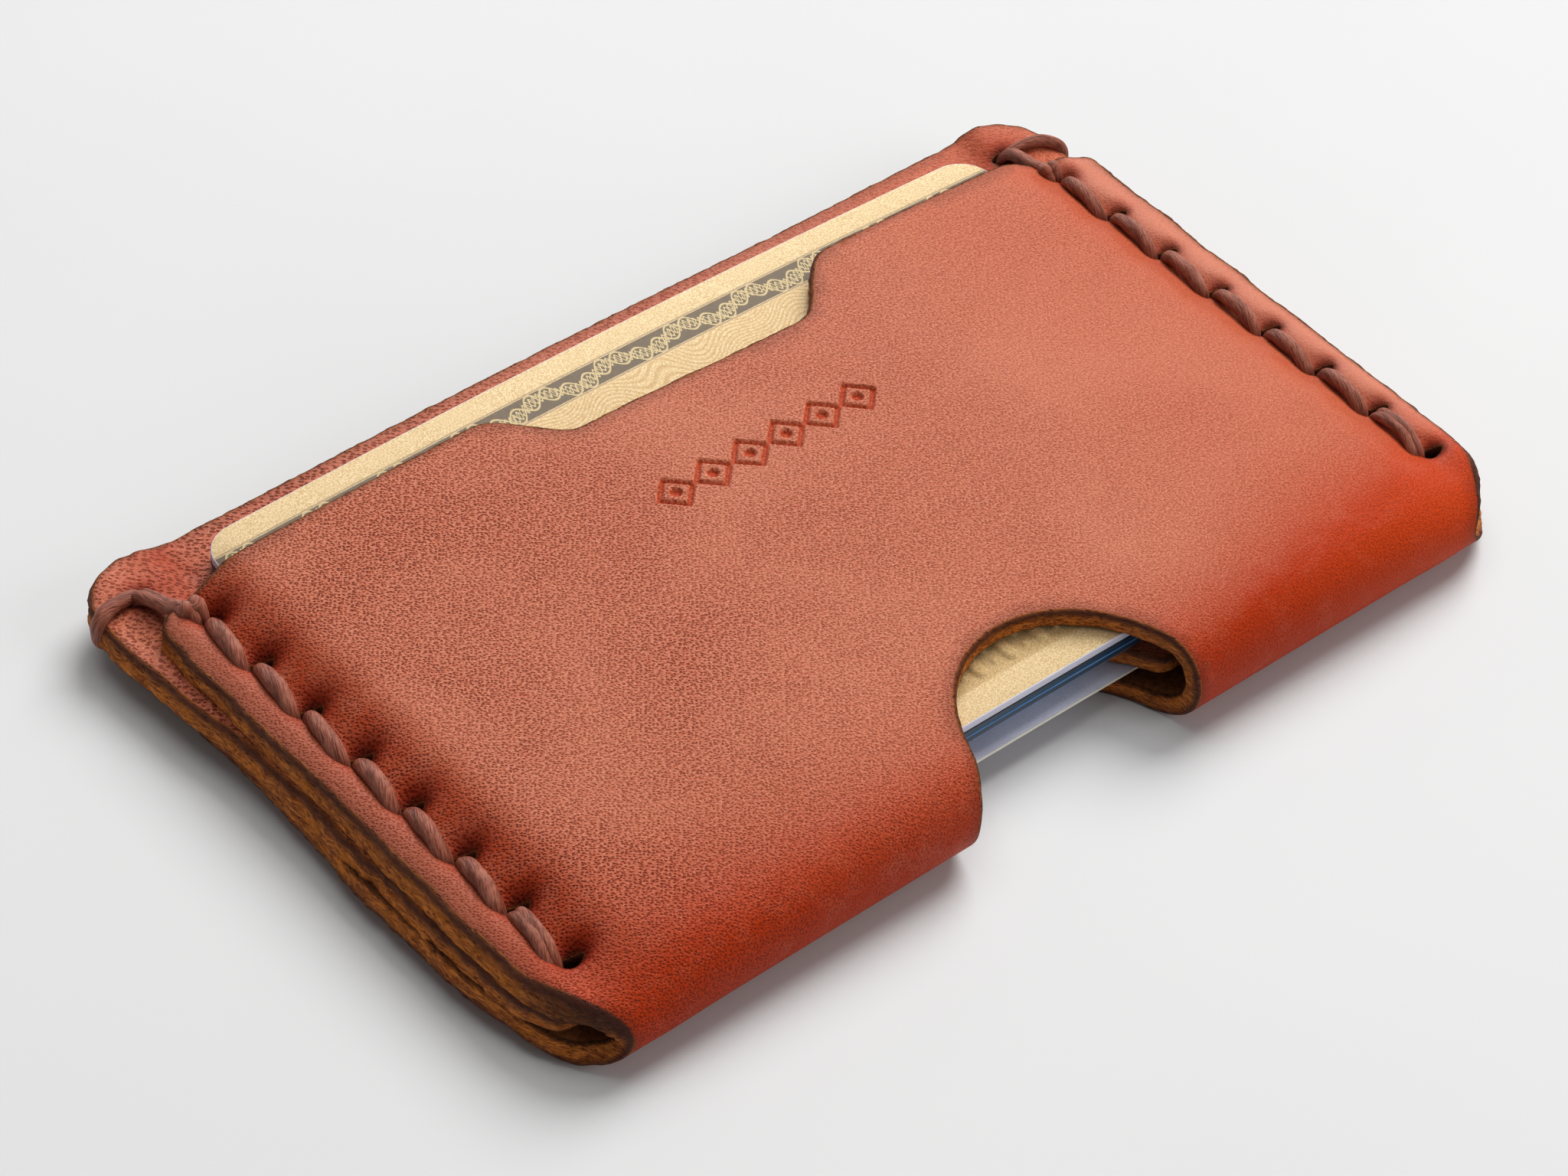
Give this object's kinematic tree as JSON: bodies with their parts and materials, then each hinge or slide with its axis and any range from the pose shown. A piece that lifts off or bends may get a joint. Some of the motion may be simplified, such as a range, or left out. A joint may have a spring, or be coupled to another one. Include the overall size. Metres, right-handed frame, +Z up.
{
  "type": "card holder",
  "caption": "Flat leather card holder with a pocket on each side of a stitched divider, a thumb hole across the fold, and cards that slide out of the open edge.",
  "frame": {"origin": "on the resting plane, under the middle of the holder's outline", "axes": "+X along the fold, +Y from the fold to the open edge of the pockets, +Z up through the front panel"},
  "size_m": [0.107, 0.065, 0.0089],
  "materials": {
    "shell_leather": "vegetable-tanned, satin, waxed grain side with burnished edges",
    "divider_leather": "vegetable-tanned, satin, open pores",
    "waxed_thread": "waxed two-ply linen, low sheen",
    "gold_plastic": "printed fine metallic gold",
    "chip_contacts": "plated contact pads",
    "magnetic_stripe": "satin black",
    "signature_panel": "matt off-white with a fine pattern",
    "navy_plastic": "gloss laminate",
    "blue_plastic": "gloss laminate",
    "card_paper": "uncoated card stock"
  },
  "bodies": {
    "holder": {"outer_shell": "shell_leather", "divider": "divider_leather", "thread_left": "waxed_thread", "thread_right": "waxed_thread"},
    "gold_card": {"gold_card": "gold_plastic", "gold_card_chip": "chip_contacts", "gold_card_stripe": "magnetic_stripe", "gold_card_signature": "signature_panel"},
    "navy_card": {"navy_card": "navy_plastic"},
    "blue_card": {"blue_card": "blue_plastic"},
    "paper_card": {"paper_card": "card_paper"}
  },
  "joints": [
    {"name": "gold_card_slide", "type": "slide", "parent": "holder", "child": "gold_card", "axis": [0, 1, 0], "range_m": [0, 0.06]},
    {"name": "navy_card_slide", "type": "slide", "parent": "holder", "child": "navy_card", "axis": [0, 1, 0], "range_m": [0, 0.06]},
    {"name": "blue_card_slide", "type": "slide", "parent": "holder", "child": "blue_card", "axis": [0, 1, 0], "range_m": [0, 0.06]},
    {"name": "paper_card_slide", "type": "slide", "parent": "holder", "child": "paper_card", "axis": [0, 1, 0], "range_m": [0, 0.06]}
  ]
}
